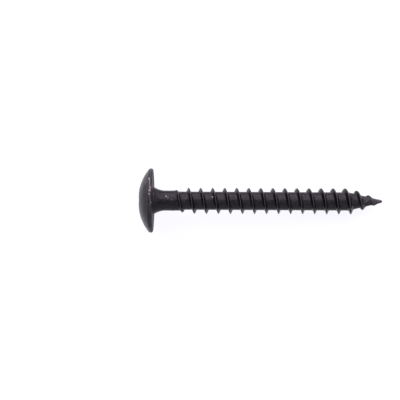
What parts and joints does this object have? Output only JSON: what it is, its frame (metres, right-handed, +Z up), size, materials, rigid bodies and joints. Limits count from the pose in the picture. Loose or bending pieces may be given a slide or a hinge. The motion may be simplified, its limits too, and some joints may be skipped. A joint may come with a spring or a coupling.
{
  "type": "hinge screw",
  "caption": "Black wood screw with a wide domed head, flared neck, lobed drive recess and a coarse thread down to a sharp point, for fixing hinges.",
  "frame": {"origin": "middle of the lying screw's footprint, on the surface that it lies on", "axes": "+X along the screw towards its point, +Z up; the axis falls 5.7 degrees towards the point, because the screw rests on the rim of its head and on its thread"},
  "size_m": [0.053, 0.014, 0.014],
  "materials": {
    "black_coated_steel": "satin"
  },
  "bodies": {
    "root": {"hinge_screw": "black_coated_steel"}
  },
  "joints": []
}
